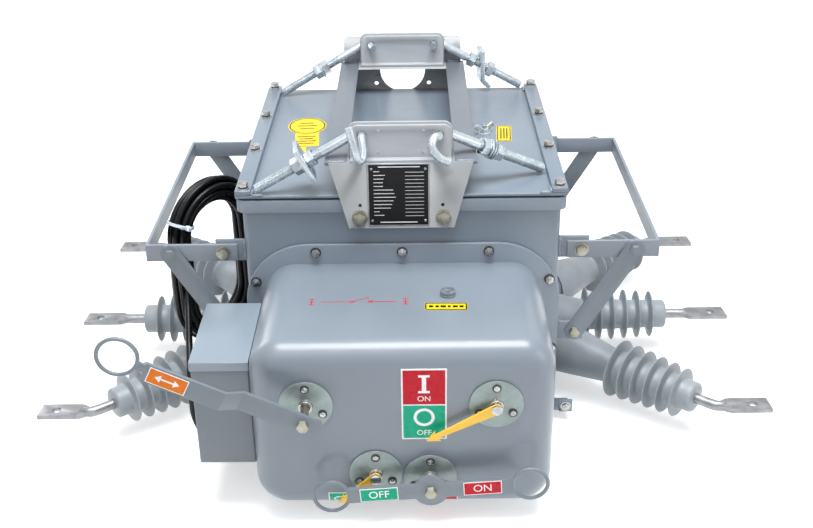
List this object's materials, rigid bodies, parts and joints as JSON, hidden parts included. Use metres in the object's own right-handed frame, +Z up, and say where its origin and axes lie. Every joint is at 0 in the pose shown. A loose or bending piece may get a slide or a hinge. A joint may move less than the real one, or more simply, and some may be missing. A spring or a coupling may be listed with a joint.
{
  "type": "automatic circuit recloser",
  "caption": "Tank-type pole-mounted circuit recloser: grey steel tank with fanned polymer bushings, front mechanism cover with levers and pointers, top bracket with hook bolts.",
  "frame": {"origin": "centre of the tank's flat underside", "axes": "+X to the right seen from the mechanism side, +Y away from the mechanism cover, +Z up"},
  "size_m": [1.16, 0.871, 0.5308],
  "materials": {
    "tank_paint": "satin blue-grey powder coat",
    "lid_paint": "satin light blue-grey powder coat",
    "cover_paint": "satin blue-grey powder coat on pressed sheet",
    "bracket_paint": "satin light grey paint",
    "lever_paint": "satin grey paint",
    "yellow_paint": "semi-gloss yellow paint",
    "indicator_plate": "printed red and green plate with white edges",
    "black_plate": "black anodised plate with a pale edge",
    "zinc_plate": "zinc plated, slightly green",
    "bright_zinc": "bright zinc plated",
    "bolt_steel": "stainless fasteners",
    "gasket_rubber": "matte black rubber",
    "silicone_rubber": "matte grey silicone rubber",
    "tinned_copper": "tinned copper",
    "cable_jacket": "glossy black cable jacket",
    "black_plastic": "moulded black plastic",
    "white_plastic": "white nylon tie"
  },
  "bodies": {
    "recloser": {"tank_body": "tank_paint", "tank_rim": "tank_paint", "lid_gasket": "gasket_rubber", "lid_plate": "lid_paint", "lid_clamp_bars": "lid_paint", "lid_bolts": "bolt_steel", "front_flange": "tank_paint", "flange_bolts": "bolt_steel", "mechanism_cover": "cover_paint", "breather_plug": "cover_paint", "terminal_box": "cover_paint", "terminal_box_lid": "cover_paint", "bearing_plates": "zinc_plate", "bearing_screws": "bolt_steel", "position_plate": "indicator_plate", "bracket_front": "bracket_paint", "bracket_rear": "bracket_paint", "bracket_rails": "bracket_paint", "bracket_bolts": "zinc_plate", "rating_plate": "black_plate", "clamp_front": "bracket_paint", "clamp_rear": "bracket_paint", "hook_bolts_front": "bright_zinc", "hook_bolts_rear": "bright_zinc", "hook_nuts": "bright_zinc", "press_plates": "bright_zinc", "frame_left": "tank_paint", "frame_right": "tank_paint", "frame_lugs": "tank_paint", "struts_left": "tank_paint", "struts_right": "tank_paint", "bushing_bosses": "tank_paint", "insulators_left": "silicone_rubber", "insulators_right": "silicone_rubber", "terminals_left": "tinned_copper", "terminals_right": "tinned_copper", "cable_gland": "black_plastic", "cable_lead": "cable_jacket", "cable_coil": "cable_jacket", "cable_tie": "white_plastic", "cable_connector": "black_plastic"},
    "charging_lever": {"charging_lever": "lever_paint"},
    "position_pointer": {"position_pointer": "yellow_paint"},
    "operating_handle": {"operating_handle": "lever_paint"},
    "charge_pointer": {"charge_pointer": "yellow_paint"}
  },
  "joints": [
    {"name": "charging_pivot", "type": "hinge", "parent": "recloser", "child": "charging_lever", "pos_m": [-0.134, -0.5, 0.209], "axis": [0, 1, 0], "range_deg": [-50, 10]},
    {"name": "position_pivot", "type": "hinge", "parent": "recloser", "child": "position_pointer", "pos_m": [0.13, -0.5, 0.208], "axis": [0, 1, 0], "range_deg": [0, 50]},
    {"name": "operating_pivot", "type": "hinge", "parent": "recloser", "child": "operating_handle", "pos_m": [0.0384, -0.5, 0.0852], "axis": [0, 1, 0], "range_deg": [-18, 18]},
    {"name": "charge_pivot", "type": "hinge", "parent": "recloser", "child": "charge_pointer", "pos_m": [-0.0393, -0.5, 0.093], "axis": [0, 1, 0], "range_deg": [-100, 0]}
  ]
}
